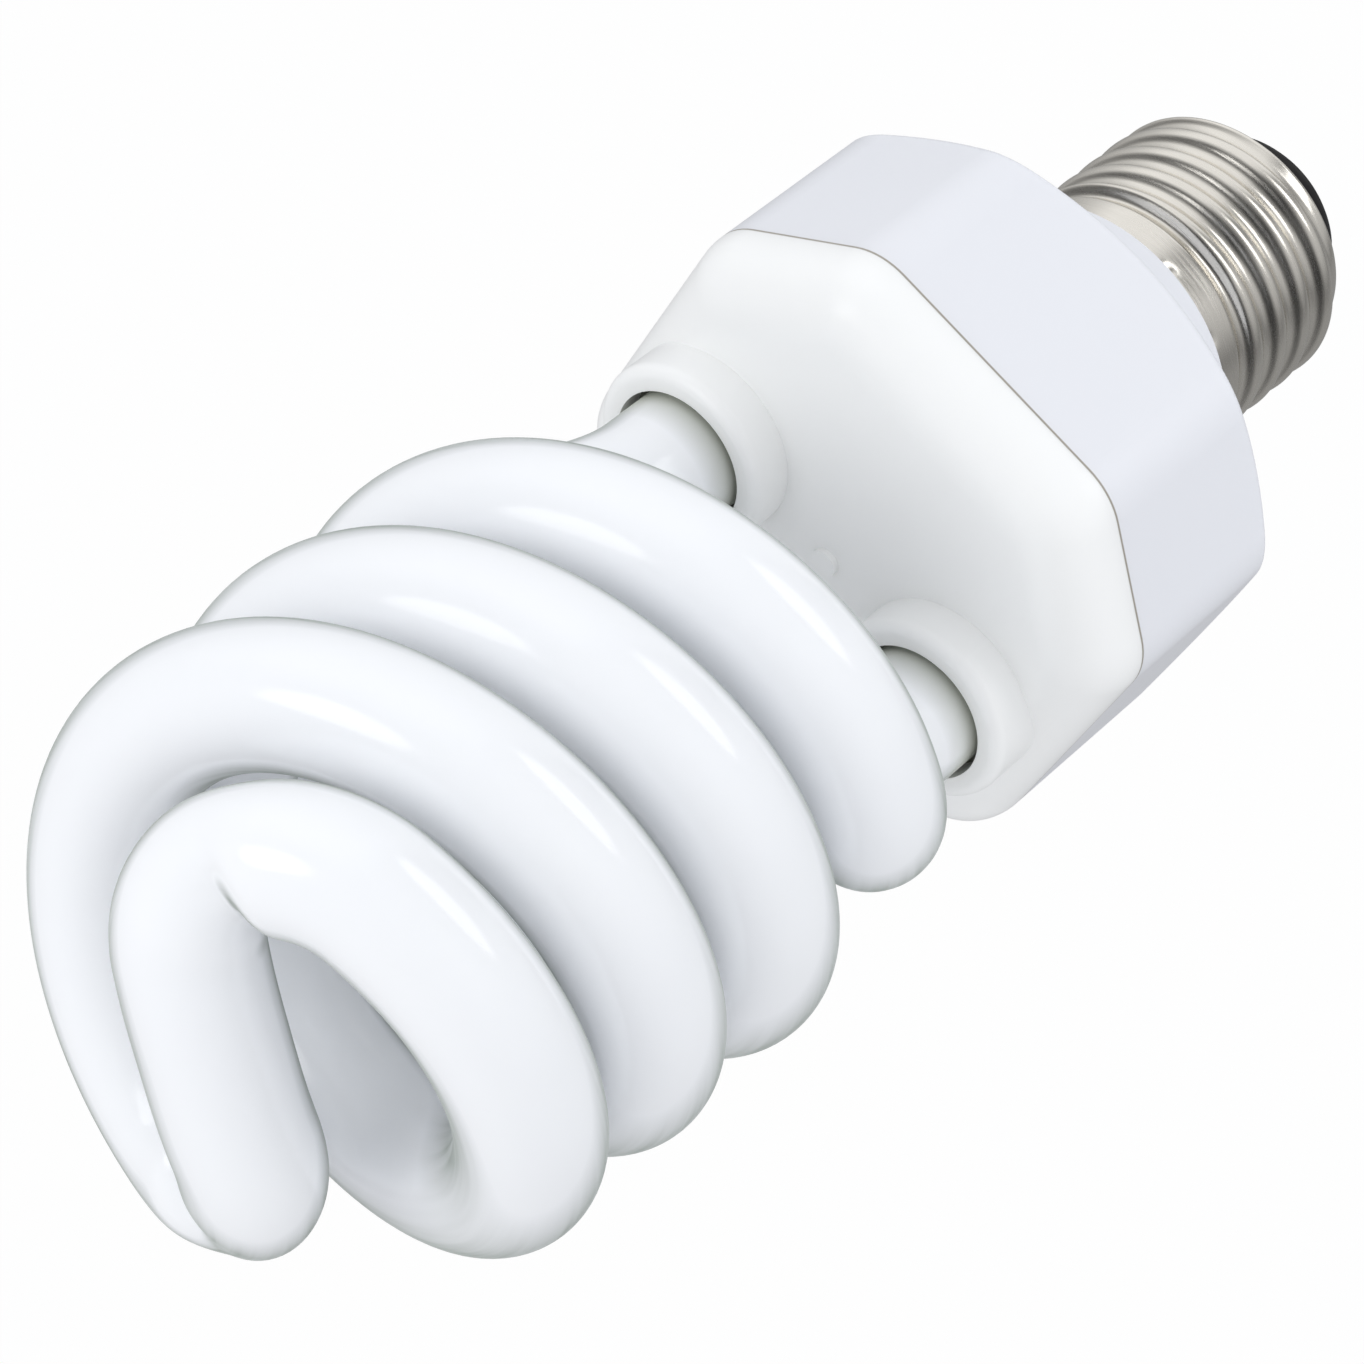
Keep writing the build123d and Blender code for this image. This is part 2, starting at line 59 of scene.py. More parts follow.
class LampSizes(bpy.types.PropertyGroup):
    """Sizes of the pieces that the scene makes itself."""

    tube_radius: bpy.props.FloatProperty(
        name="Tube radius", description="Outer radius of the glass tube", default=5.88 * MM, unit="LENGTH"
    )
    coil_radius: bpy.props.FloatProperty(
        name="Coil radius", description="Radius of the spiral's centreline", default=21.88 * MM,
        unit="LENGTH",
    )
    coil_pitch: bpy.props.FloatProperty(
        name="Coil pitch", description="Rise of one arm in a full turn", default=28.12 * MM, unit="LENGTH"
    )
    coil_end_angle: bpy.props.FloatProperty(
        name="Spiral end angle", description="Where the spiral turns inward", default=math.radians(176),
        unit="ROTATION",
    )
    coil_end_height: bpy.props.FloatProperty(
        name="Spiral end height", description="Height of that point", default=133.25 * MM, unit="LENGTH"
    )
    crossing_bend: bpy.props.FloatProperty(
        name="Crossing bend", description="Radius of the inward bend", default=9.2 * MM, unit="LENGTH"
    )
    crossing_rise: bpy.props.FloatProperty(
        name="Crossing rise", description="Rise from the bend to the axis", default=6.0 * MM, unit="LENGTH"
    )
    crossing_lift: bpy.props.FloatProperty(
        name="Crossing lift", description="Extra height halfway", default=0.8 * MM, unit="LENGTH"
    )
    fold_depth: bpy.props.FloatProperty(
        name="Fold depth", description="Depth of the fold inside each inward bend", default=2.1 * MM,
        unit="LENGTH",
    )
    fold_width: bpy.props.FloatProperty(
        name="Fold width", description="Reach of that fold towards the spiral", default=2.2 * MM,
        unit="LENGTH",
    )
    fold_slope: bpy.props.FloatProperty(
        name="Fold slope", description="Reach of that fold towards the axis", default=4.0 * MM,
        unit="LENGTH",
    )
    leg_offset: bpy.props.FloatProperty(
        name="Leg offset", description="Distance of each leg from the axis", default=14.58 * MM,
        unit="LENGTH",
    )
    leg_bend_height: bpy.props.FloatProperty(
        name="Leg bend height", description="Where a leg starts to bend", default=72.4 * MM, unit="LENGTH"
    )
    leg_join_angle: bpy.props.FloatProperty(
        name="Leg join angle", description="Where the leg meets the spiral", default=math.radians(-406.5),
        unit="ROTATION",
    )
    crest_radius: bpy.props.FloatProperty(
        name="Crest radius", description="Radius at the thread's crests", default=13.1 * MM, unit="LENGTH"
    )
    root_radius: bpy.props.FloatProperty(
        name="Root radius", description="Radius at the thread's roots", default=12.15 * MM, unit="LENGTH"
    )
    thread_pitch: bpy.props.FloatProperty(
        name="Thread pitch", description="Distance between two crests", default=3.629 * MM, unit="LENGTH"
    )
    thread_start: bpy.props.FloatProperty(
        name="Thread start", description="Height of a crest on the +X side", default=5.35 * MM,
        unit="LENGTH",
    )


class LampColours(bpy.types.PropertyGroup):
    """Colours of the main finishes."""

    opal: bpy.props.FloatVectorProperty(
        name="Opal glass", description="Coated glass seen face on", default=(0.895, 0.912, 0.935),
        subtype="COLOR", size=3, min=0, max=1,
    )
    # Painted edge shade: the darker colour the glass is given where it is seen edge on.
    painted_edge_shade: bpy.props.FloatVectorProperty(
        name="Glass edge", description="Coated glass seen edge on", default=(0.34, 0.37, 0.345),
        subtype="COLOR", size=3, min=0, max=1,
    )
    body: bpy.props.FloatVectorProperty(
        name="Body plastic", description="Half of the housing at the cap", default=(0.825, 0.84, 0.88),
        subtype="COLOR", size=3, min=0, max=1,
    )
    lid: bpy.props.FloatVectorProperty(
        name="Lid plastic", description="Half of the housing at the tube", default=(0.95, 0.96, 0.95),
        subtype="COLOR", size=3, min=0, max=1,
    )
    nickel: bpy.props.FloatVectorProperty(
        name="Nickel", description="Plating of the screw shell", default=(0.88, 0.85, 0.79),
        subtype="COLOR", size=3, min=0, max=1,
    )


def new_tree(name):
    """An empty material with its output, and the tools to fill it."""
    material = bpy.data.materials.new(name)
    material.use_nodes = True
    tree = material.node_tree
    tree.nodes.clear()
    output = tree.nodes.new("ShaderNodeOutputMaterial")
    return material, tree, output


def object_place(tree, scale=(1, 1, 1)):
    """Object coordinates through a Mapping node."""
    place = tree.nodes.new("ShaderNodeTexCoord")
    mapping = tree.nodes.new("ShaderNodeMapping")
    mapping.inputs["Scale"].default_value = scale
    tree.links.new(place.outputs["Object"], mapping.inputs["Vector"])
    return mapping.outputs["Vector"]


def noise(tree, place, scale, detail=3.0):
    """Soft noise at a scale per metre."""
    node = tree.nodes.new("ShaderNodeTexNoise")
    node.inputs["Scale"].default_value = scale
    node.inputs["Detail"].default_value = detail
    tree.links.new(place, node.inputs["Vector"])
    return node.outputs["Fac"]


def map_range(tree, value, low, high, to_low, to_high):
    """Maps a value from one range to another."""
    node = tree.nodes.new("ShaderNodeMapRange")
    node.inputs["From Min"].default_value = low
    node.inputs["From Max"].default_value = high
    node.inputs["To Min"].default_value = to_low
    node.inputs["To Max"].default_value = to_high
    tree.links.new(value, node.inputs["Value"])
    return node.outputs["Result"]


def blend_colour(tree, factor, first, second):
    """Mixes two colours, each a tuple or a socket."""
    node = tree.nodes.new("ShaderNodeMix")
    node.data_type = "RGBA"
    tree.links.new(factor, node.inputs["Factor"])
    for socket, colour in ((node.inputs[6], first), (node.inputs[7], second)):
        if isinstance(colour, bpy.types.NodeSocket):
            tree.links.new(colour, socket)
        else:
            socket.default_value = (*colour, 1)
    return node.outputs[2]


def darker(colour, share):
    """A colour scaled towards black."""
    return tuple(c * share for c in colour)


def straight_place(tree, scale):
    """Coordinates of the tube as if it were laid out straight along Z."""
    around = tree.nodes.new("ShaderNodeAttribute")
    around.attribute_name = "around"
    along = tree.nodes.new("ShaderNodeAttribute")
    along.attribute_name = "along"
    lift = tree.nodes.new("ShaderNodeCombineXYZ")
    tree.links.new(along.outputs["Fac"], lift.inputs["Z"])
    total = tree.nodes.new("ShaderNodeVectorMath")
    tree.links.new(around.outputs["Vector"], total.inputs[0])
    tree.links.new(lift.outputs["Vector"], total.inputs[1])
    mapping = tree.nodes.new("ShaderNodeMapping")
    mapping.inputs["Scale"].default_value = scale
    tree.links.new(total.outputs["Vector"], mapping.inputs["Vector"])
    return mapping.outputs["Vector"]


def math_node(tree, operation, first, second=0.0):
    """One Math node; the second value is a socket or a number."""
    node = tree.nodes.new("ShaderNodeMath")
    node.operation = operation
    tree.links.new(first, node.inputs[0])
    if isinstance(second, bpy.types.NodeSocket):
        tree.links.new(second, node.inputs[1])
    else:
        node.inputs[1].default_value = second
    return node.outputs[0]


def add_bump(tree, shader, height, strength, distance):
    """Bump from a height socket."""
    node = tree.nodes.new("ShaderNodeBump")
    node.inputs["Strength"].default_value = strength
    node.inputs["Distance"].default_value = distance
    tree.links.new(height, node.inputs["Height"])
    tree.links.new(node.outputs["Normal"], shader.inputs["Normal"])


def finish_material(name, colour, roughness, metallic=0.0, spread=0.06, grain=900, bump=0.05, gloss=0.5):
    """A noise-varied finish: colour, roughness and bump follow the piece's own surface."""
    material, tree, output = new_tree(name)
    shader = tree.nodes.new("ShaderNodeBsdfPrincipled")
    shader.inputs["Metallic"].default_value = metallic
    shader.inputs["Specular IOR Level"].default_value = gloss
    place = object_place(tree)
    specks_per_cloud = 12
    cloud = noise(tree, place, grain / specks_per_cloud)
    speck = noise(tree, place, grain)
    tint = blend_colour(tree, cloud, colour, darker(colour, 1 - spread * 2))
    tree.links.new(tint, shader.inputs["Base Color"])
    smooth, dull = max(0.02, roughness * 0.85), min(1, roughness * 1.2)
    rough = map_range(tree, speck, GRAIN_LOW, GRAIN_HIGH, smooth, dull)
    tree.links.new(rough, shader.inputs["Roughness"])
    add_bump(tree, shader, speck, bump, 0.0002)
    tree.links.new(shader.outputs["BSDF"], output.inputs["Surface"])
    return material


def opal_material(colours):
    """White coated glass: brighter face on, with painted shade where it is seen edge on, olive where the
    coating ends at the legs.
    """
    material, tree, output = new_tree("opal_glass")
    shader = tree.nodes.new("ShaderNodeBsdfPrincipled")
    shader.inputs["Roughness"].default_value = 0.22
    shader.inputs["IOR"].default_value = 1.5
    shader.inputs["Specular IOR Level"].default_value = 0.0
    shader.inputs["Coat Roughness"].default_value = 0.13
    shader.inputs["Subsurface Weight"].default_value = 0.5
    shader.inputs["Subsurface Radius"].default_value = (1, 1, 1)
    shader.inputs["Subsurface Scale"].default_value = 0.005
    place = object_place(tree)
    cloud = noise(tree, place, 60)
    face = blend_colour(tree, cloud, colours.opal, darker(colours.opal, 0.98))
    # Painted edge shade: the colour darkens where the tube is seen edge on, broken up by streaks along the
    # tube.
    weight = tree.nodes.new("ShaderNodeLayerWeight")
    weight.inputs["Blend"].default_value = 0.5
    rim_start, rim_full = 0.58, 0.86
    rim = map_range(tree, weight.outputs["Facing"], rim_start, rim_full, 0.0, 1.0)
    streak_stretch = (1, 1, 0.06)
    streaks = noise(tree, straight_place(tree, streak_stretch), 900, 2.0)
    lines = math_node(tree, "MULTIPLY", rim, map_range(tree, streaks, 0.35, 0.65, 0.8, 1.0))
    face_with_painted_edge = blend_colour(tree, lines, face, colours.painted_edge_shade)
    tree.links.new(map_range(tree, rim, 0.0, 1.0, 1.0, 0.0), shader.inputs["Coat Weight"])
    split = tree.nodes.new("ShaderNodeSeparateXYZ")
    tree.links.new(place, split.inputs["Vector"])
    coating_end, bare_start = 72.0 * MM, 68.5 * MM
    bare = map_range(tree, split.outputs["Z"], coating_end, bare_start, 0.0, 1.0)
    olive = (0.50, 0.52, 0.46)
    tree.links.new(blend_colour(tree, bare, face_with_painted_edge, olive), shader.inputs["Base Color"])
    wave = noise(tree, place, 45, 1.0)
    add_bump(tree, shader, wave, 0.12, 0.0006)
    tree.links.new(shader.outputs["BSDF"], output.inputs["Surface"])
    return material


def housing_material(name, colour):
    """Moulded white plastic with a fine satin grain and a thin dark line at the seam."""
    material, tree, output = new_tree(name)
    shader = tree.nodes.new("ShaderNodeBsdfPrincipled")
    shader.inputs["Coat Weight"].default_value = 0.25
    shader.inputs["Coat Roughness"].default_value = 0.2
    shader.inputs["Subsurface Weight"].default_value = 0.15
    shader.inputs["Subsurface Radius"].default_value = (1, 1, 1)
    shader.inputs["Subsurface Scale"].default_value = 0.002
    place = object_place(tree)
    cloud = noise(tree, place, 40)
    face = blend_colour(tree, cloud, colour, darker(colour, 0.97))
    split = tree.nodes.new("ShaderNodeSeparateXYZ")
    tree.links.new(place, split.inputs["Vector"])
    distance = math_node(tree, "ABSOLUTE", math_node(tree, "SUBTRACT", split.outputs["Z"], SEAM_HEIGHT))
    line_edge, line_core = 0.16 * MM, 0.06 * MM
    line = map_range(tree, distance, line_edge, line_core, 0.0, 1.0)
    groove = (0.36, 0.33, 0.28)
    tree.links.new(blend_colour(tree, line, face, groove), shader.inputs["Base Color"])
    grain = noise(tree, place, 2500)
    rough = map_range(tree, grain, GRAIN_LOW, GRAIN_HIGH, 0.34, 0.44)
    tree.links.new(rough, shader.inputs["Roughness"])
    add_bump(tree, shader, grain, 0.05, 0.0001)
    tree.links.new(shader.outputs["BSDF"], output.inputs["Surface"])
    return material


def nickel_material(colours):
    """Rolled nickel plate: fine marks that run round the cap, slight dullness in patches."""
    material, tree, output = new_tree("nickel")
    shader = tree.nodes.new("ShaderNodeBsdfPrincipled")
    shader.inputs["Metallic"].default_value = 1.0
    fine_along_cap = (1, 1, 14)
    lines = noise(tree, object_place(tree, fine_along_cap), 220, 4.0)
    patch = noise(tree, object_place(tree), 130)
    tint = blend_colour(tree, patch, colours.nickel, darker(colours.nickel, 0.82))
    tree.links.new(tint, shader.inputs["Base Color"])
    rough = map_range(tree, lines, GRAIN_LOW, GRAIN_HIGH, 0.20, 0.32)
    tree.links.new(rough, shader.inputs["Roughness"])
    add_bump(tree, shader, lines, 0.06, 0.0002)
    tree.links.new(shader.outputs["BSDF"], output.inputs["Surface"])
    return material


def ring_mesh(name, rings, closed=True):
    """A smooth mesh from rings of points; closed joins the last ring to the first."""
    count = len(rings[0])
    points = [p for ring in rings for p in ring]
    faces = []
    steps = len(rings) if closed else len(rings) - 1
    for i in range(steps):
        here = i * count
        there = ((i + 1) % len(rings)) * count
        for j in range(count):
            k = (j + 1) % count
            faces.append((here + j, here + k, there + k, there + j))
    mesh = bpy.data.meshes.new(name)
    mesh.from_pydata(points, [], faces)
    mesh.polygons.foreach_set("use_smooth", [True] * len(faces))
    mesh.update()
    thing = bpy.data.objects.new(name, mesh)
    bpy.context.scene.collection.objects.link(thing)
    return thing


def spiral_point(sizes, angle):
    """A point on the spiral of the first arm."""
    height = sizes.coil_end_height - sizes.coil_pitch * (sizes.coil_end_angle - angle) / math.tau
    return Vector((sizes.coil_radius * math.cos(angle), sizes.coil_radius * math.sin(angle), height))


def arm_path(sizes):
    """Centreline of one arm, from the leg's end to the crossing on the axis."""
    leg_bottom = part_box("discharge_tube")[0].z
    leg_steps, bend_steps, spiral_steps, tail_steps = 6, 30, 240, 110
    leg_pull, coil_pull = 29.5 * MM, 38.8 * MM
    points = []
    for i in range(leg_steps):
        height = leg_bottom + (sizes.leg_bend_height - leg_bottom) * i / leg_steps
        points.append(Vector((0, -sizes.leg_offset, height)))
    start = Vector((0, -sizes.leg_offset, sizes.leg_bend_height))
    join = spiral_point(sizes, sizes.leg_join_angle)
    small_turn = 0.001
    step = spiral_point(sizes, sizes.leg_join_angle + small_turn) - join
    heading = step.normalized() * coil_pull
    for i in range(bend_steps):
        s = i / bend_steps
        point = start * (2 * s ** 3 - 3 * s ** 2 + 1) + Vector((0, 0, leg_pull)) * (s ** 3 - 2 * s ** 2 + s)
        points.append(point + join * (3 * s ** 2 - 2 * s ** 3) + heading * (s ** 3 - s ** 2))
    for i in range(spiral_steps + 1):
        turn = (sizes.coil_end_angle - sizes.leg_join_angle) * i / spiral_steps
        points.append(spiral_point(sizes, sizes.leg_join_angle + turn))
    end = sizes.coil_end_angle
    outward = Vector((math.cos(end), math.sin(end), 0))
    onward = Vector((-math.sin(end), math.cos(end), 0))
    centre = sizes.coil_radius - sizes.crossing_bend
    sweep = math.pi - math.acos(sizes.crossing_bend / centre)
    bend = sizes.crossing_bend
    chord = outward * (centre + bend * math.cos(sweep)) + onward * (bend * math.sin(sweep))
    length = bend * sweep + chord.length
    slope = sizes.coil_pitch / (math.tau * sizes.coil_radius)
    for i in range(1, tail_steps + 1):
        q = i / tail_steps
        run = q * length
        if run < bend * sweep:
            u = run / bend
            point = outward * (centre + bend * math.cos(u)) + onward * (bend * math.sin(u))
        else:
            point = chord * ((length - run) / chord.length)
        climb = (q ** 3 - 2 * q ** 2 + q) * length * slope
        rise = (3 * q ** 2 - 2 * q ** 3) * sizes.crossing_rise
        lift = sizes.crossing_lift * 16 * q ** 2 * (1 - q) ** 2
        points.append(Vector((point.x, point.y, sizes.coil_end_height + climb + rise + lift)))
    return points


def tube_tree():
    """Geometry Nodes: a round tube along a curve, smooth, with its material."""
    tree = bpy.data.node_groups.new("tube_along_path", "GeometryNodeTree")
    tree.interface.new_socket("Path", in_out="INPUT", socket_type="NodeSocketGeometry")
    tree.interface.new_socket("Radius", in_out="INPUT", socket_type="NodeSocketFloat")
    tree.interface.new_socket("Sides", in_out="INPUT", socket_type="NodeSocketInt")
    tree.interface.new_socket("Material", in_out="INPUT", socket_type="NodeSocketMaterial")
    tree.interface.new_socket("Tube", in_out="OUTPUT", socket_type="NodeSocketGeometry")
    start = tree.nodes.new("NodeGroupInput")
    section = tree.nodes.new("GeometryNodeCurvePrimitiveCircle")
    sweep = tree.nodes.new("GeometryNodeCurveToMesh")
    smooth = tree.nodes.new("GeometryNodeSetShadeSmooth")
    measure = tree.nodes.new("GeometryNodeSplineParameter")
    place = tree.nodes.new("GeometryNodeInputPosition")
    along = tree.nodes.new("GeometryNodeStoreNamedAttribute")
    along.inputs["Name"].default_value = "along"
    around = tree.nodes.new("GeometryNodeStoreNamedAttribute")
    around.data_type = "FLOAT_VECTOR"
    around.inputs["Name"].default_value = "around"
    real = tree.nodes.new("GeometryNodeRealizeInstances")
    paint = tree.nodes.new("GeometryNodeSetMaterial")
    end = tree.nodes.new("NodeGroupOutput")
    sweep.inputs["Fill Caps"].default_value = True
    join = tree.links.new
    join(start.outputs["Sides"], section.inputs["Resolution"])
    join(start.outputs["Radius"], section.inputs["Radius"])
    join(start.outputs["Path"], along.inputs["Geometry"])
    join(measure.outputs["Length"], along.inputs["Value"])
    join(along.outputs["Geometry"], sweep.inputs["Curve"])
    join(section.outputs["Curve"], around.inputs["Geometry"])
    join(place.outputs["Position"], around.inputs["Value"])
    join(around.outputs["Geometry"], sweep.inputs["Profile Curve"])
    join(sweep.outputs["Mesh"], smooth.inputs["Geometry"])
    join(smooth.outputs["Geometry"], real.inputs["Geometry"])
    join(real.outputs["Geometry"], paint.inputs["Geometry"])
    join(start.outputs["Material"], paint.inputs["Material"])
    join(paint.outputs["Geometry"], end.inputs["Tube"])
    return tree


def set_input(modifier, name, value):
    """Sets a Geometry Nodes input by its socket's identifier."""
    for item in modifier.node_group.interface.items_tree:
        if item.item_type == "SOCKET" and item.in_out == "INPUT" and item.name == name:
            modifier[item.identifier] = value


def tube_piece(name, points, radius, sides, material):
    """A tube swept along points, as a plain mesh."""
    curve = bpy.data.curves.new(name + "_path", "CURVE")
    curve.dimensions = "3D"
    spline = curve.splines.new("POLY")
    spline.points.add(len(points) - 1)
    for place, point in zip(spline.points, points):
        place.co = (*point, 1)
    holder = bpy.data.objects.new(name + "_path", curve)
    bpy.context.scene.collection.objects.link(holder)
    modifier = holder.modifiers.new("Tube", "NODES")
    modifier.node_group = tube_tree()
    set_input(modifier, "Radius", radius)
    set_input(modifier, "Sides", sides)
    set_input(modifier, "Material", material)
    graph = bpy.context.evaluated_depsgraph_get()
    mesh = bpy.data.meshes.new_from_object(holder.evaluated_get(graph), depsgraph=graph)
    holder.modifiers.remove(modifier)
    bpy.data.objects.remove(holder)
    mesh.name = name
    piece = bpy.data.objects.new(name, mesh)
    bpy.context.scene.collection.objects.link(piece)
    return piece


def ease(value, low, high):
    """0 below low, 1 above high, smooth between."""
    s = min(1.0, max(0.0, (value - low) / (high - low)))
    return s * s * (3 - 2 * s)


def fold_bends(tube, path, sides, sizes):
    """Presses a fold into the inside of each inward bend, where the soft glass was pushed together."""
    reach = [0.0]
    for here, there in zip(path, path[1:]):
        reach.append(reach[-1] + (there - here).length)
    end = sizes.coil_end_angle
    outward = Vector((math.cos(end), math.sin(end), 0)) * (sizes.coil_radius - sizes.crossing_bend)
    middle = len(path) // 2
    share = 0.49  # how far round the bend the fold lies: 0 at the spiral, 1 at the straight crossing
    fold_edge, fold_back = 75, 180
    sweep = math.pi - math.acos(sizes.crossing_bend / outward.length)
    chord = math.sqrt(outward.length ** 2 - sizes.crossing_bend ** 2)
    run = chord + sizes.crossing_bend * sweep * (1 - share)
    vertices = tube.data.vertices
    for side in (-1, 1):
        fold = reach[middle] + side * run
        centre = outward * -side
        for i, point in enumerate(path):
            away = side * (reach[i] - fold) / sizes.fold_width
            if away < 0:
                away *= sizes.fold_width / sizes.fold_slope
            if abs(away) > 3:
                continue
            inward = Vector((centre.x - point.x, centre.y - point.y, 0)).normalized()
            for vertex in vertices[i * sides:(i + 1) * sides]:
                offset = vertex.co - point
                turn = math.degrees(offset.angle(inward))
                depth = sizes.fold_depth * math.exp(-away ** 2) * (1 - ease(turn, fold_edge, fold_back))
                vertex.co -= offset.normalized() * depth
    tube.data.update()


def seat(piece, slot, *nodes):
    """The piece rides on the lamp and stands for CAD nodes, which it hides; the slot is not used."""
    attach(piece, "root")
    if nodes:
        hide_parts(*nodes)
    return piece


class LAMP_OT_tube(bpy.types.Operator):
    """Make the double spiral of coated glass"""

    bl_idname = "lamp.tube"
    bl_label = "Glass tube"

    def execute(self, context):
        sizes = context.scene.lamp_sizes
        colours = context.scene.lamp_colours
        arm = arm_path(sizes)
        other = [Vector((-p.x, -p.y, p.z)) for p in reversed(arm[:-1])]
        path, sides = arm + other, 72
        tube = tube_piece("spiral_tube", path, sizes.tube_radius, sides, opal_material(colours))
        fold_bends(tube, path, sides, sizes)
        seat(tube, "opal_glass", "discharge_tube")
        return {"FINISHED"}


class LAMP_OT_housing(bpy.types.Operator):
    """Finish the two halves of the housing and the cement at the legs"""

    bl_idname = "lamp.housing"
    bl_label = "Housing"

    def execute(self, context):
        colours = context.scene.lamp_colours
        dress("upper_shell", housing_material("body_plastic", tuple(colours.body)))
        dress("lower_shell", housing_material("lid_plastic", tuple(colours.lid)))
        cement = finish_material("cement", (0.30, 0.30, 0.25), 0.8, spread=0.2, grain=1500, bump=0.5)
        dress("tube_cement", cement)
        return {"FINISHED"}


def thread_radius(sizes, angle, height):
    """Radius of the rolled thread: a crest arc and a root arc of the same size that meet tangentially."""
    depth = sizes.crest_radius - sizes.root_radius
    quarter = sizes.thread_pitch / 4
    arc = (quarter ** 2 + depth ** 2 / 4) / depth
    turns = (height - sizes.thread_start) / sizes.thread_pitch - angle / math.tau
    offset = abs(turns - round(turns)) * sizes.thread_pitch
    if offset < quarter:
        return sizes.crest_radius - arc + math.sqrt(arc ** 2 - offset ** 2)
    return sizes.root_radius + arc - math.sqrt(arc ** 2 - (2 * quarter - offset) ** 2)


def glass_insulator(radius, rim):
    """The dark dome round the contact, from the curled end of the shell almost down to the tip."""
    contact = 5.05 * MM
    profile = [
        (1.0 * MM, 3.2 * MM),
        (1.0 * MM, 1.22 * MM),
        (contact, 1.22 * MM),
        (contact, 0.5 * MM),
        (contact + 0.3 * MM, 0.2 * MM),
        (contact + 1.2 * MM, 0.05 * MM),
        (contact + 2.2 * MM, 0.15 * MM),
        (contact + 2.8 * MM, 0.55 * MM),
        (contact + 3.4 * MM, 1.2 * MM),
        (contact + 4.1 * MM, 2.3 * MM),
        (radius - 0.25 * MM, 3.4 * MM),
        (radius, rim),
        (radius, rim + 0.6 * MM),
        (radius - 1.0 * MM, rim + 0.6 * MM),
    ]
    sides = 96
    return ring_mesh("glass_insulator", points_around([[point] * sides for point in profile]))


def points_around(rings):
    """Points in space from rings of radius and height, each spread evenly round the axis."""
    turned = []
    for ring in rings:
        row = []
        for j, (radius, height) in enumerate(ring):
            angle = math.tau * j / len(ring)
            row.append((radius * math.cos(angle), radius * math.sin(angle), height))
        turned.append(row)
    return turned


CAP_SIDES = 224
CAP_BOTTOM = 4.4 * MM
CURL_RADIUS = 9.9 * MM
END_REACH = 2.4 * MM
THREAD_END = 21.2 * MM
SKIRT_START = 22.3 * MM
SKIRT_RADIUS = 12.9 * MM
SHEET = 0.35 * MM


def thread_rings(sizes):
    """Rings of the rolled thread, which fades at both ends and draws in at the lower one."""
    rows, end_inset = 150, 1.6 * MM
    fade_in, fade_out = 2.4 * MM, 1.0 * MM
    first = CAP_BOTTOM + 0.2 * MM
    inset_start = CAP_BOTTOM - 0.6 * MM
    root = sizes.root_radius
    rings = []
    for i in range(rows + 1):
        height = first + (THREAD_END - first) * i / rows
        share = ease(height, first, first + fade_in) * (1 - ease(height, THREAD_END - fade_out, THREAD_END))
        inset = end_inset * (1 - ease(height, inset_start, CAP_BOTTOM + END_REACH))
        ring = []
        for j in range(CAP_SIDES):
            radius = thread_radius(sizes, math.tau * j / CAP_SIDES, height)
            ring.append((root + (radius - root) * share - inset, height))
        rings.append(ring)
    return rings


def skirt_rings(root, top):
    """Rings of the plain sheet above the thread, with its two staking marks."""
    rows, skirt_full = 40, SKIRT_START + 0.3 * MM
    mark_height, mark_width, mark_depth = 25.5 * MM, 0.55 * MM, 0.32 * MM
    mark_angles = (math.radians(-3), math.radians(-35))
    rings = []
    for i in range(1, rows + 1):
        height = THREAD_END + (top - THREAD_END) * i / rows
        base = root + (SKIRT_RADIUS - root) * ease(height, THREAD_END, skirt_full)
        ring = []
        for j in range(CAP_SIDES):
            angle = math.tau * j / CAP_SIDES
            dent = 0.0
            for mark in mark_angles:
                across = math.remainder(angle - mark, math.tau) * SKIRT_RADIUS
                reach = (across ** 2 + (height - mark_height) ** 2) / mark_width ** 2
                dent += mark_depth * math.exp(-reach)
            ring.append((base - dent, height))
        rings.append(ring)
    return rings


def screw_shell(sizes):
    """The sheet of the cap: its curled end, the thread, the skirt and the way back inside."""
    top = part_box("screw_shell")[1].z
    root = sizes.root_radius
    curled_end = [
        (CURL_RADIUS, CAP_BOTTOM + SHEET),
        (CURL_RADIUS, CAP_BOTTOM),
        (CURL_RADIUS + 0.6 * MM, CAP_BOTTOM),
    ]
    inside = [
        (SKIRT_RADIUS - SHEET, top),
        (SKIRT_RADIUS - SHEET, SKIRT_START),
        (root - SHEET, THREAD_END),
        (root - SHEET, CAP_BOTTOM + END_REACH + 0.4 * MM),
        (CURL_RADIUS + 0.5 * MM, CAP_BOTTOM + SHEET),
    ]
    rings = [[point] * CAP_SIDES for point in curled_end]
    rings += thread_rings(sizes) + skirt_rings(root, top)
    rings += [[point] * CAP_SIDES for point in inside]
    return ring_mesh("rolled_screw_shell", points_around(rings))


class LAMP_OT_cap(bpy.types.Operator):
    """Make the rolled screw shell and the dark dome at its end, and finish the contact"""

    bl_idname = "lamp.cap"
    bl_label = "Screw cap"

    def execute(self, context):
        shell = screw_shell(context.scene.lamp_sizes)
        shell.data.materials.append(nickel_material(context.scene.lamp_colours))
        seat(shell, "nickel", "screw_shell")
        glass = glass_insulator(CURL_RADIUS - 0.05 * MM, CAP_BOTTOM)
        black = finish_material("black_glass", (0.012, 0.011, 0.012), 0.4, grain=600, bump=0.02, gloss=0.05)
        glass.data.materials.append(black)
        seat(glass, "black_glass", "insulator")
        solder = finish_material("solder", (0.58, 0.56, 0.52), 0.34, metallic=1.0, grain=800, bump=0.25)
        dress("centre_contact", solder)
        return {"FINISHED"}


def dress(node, material):
    """Gives a CAD node its finish."""
    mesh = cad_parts[node].data
    mesh.materials.clear()
    mesh.materials.append(material)


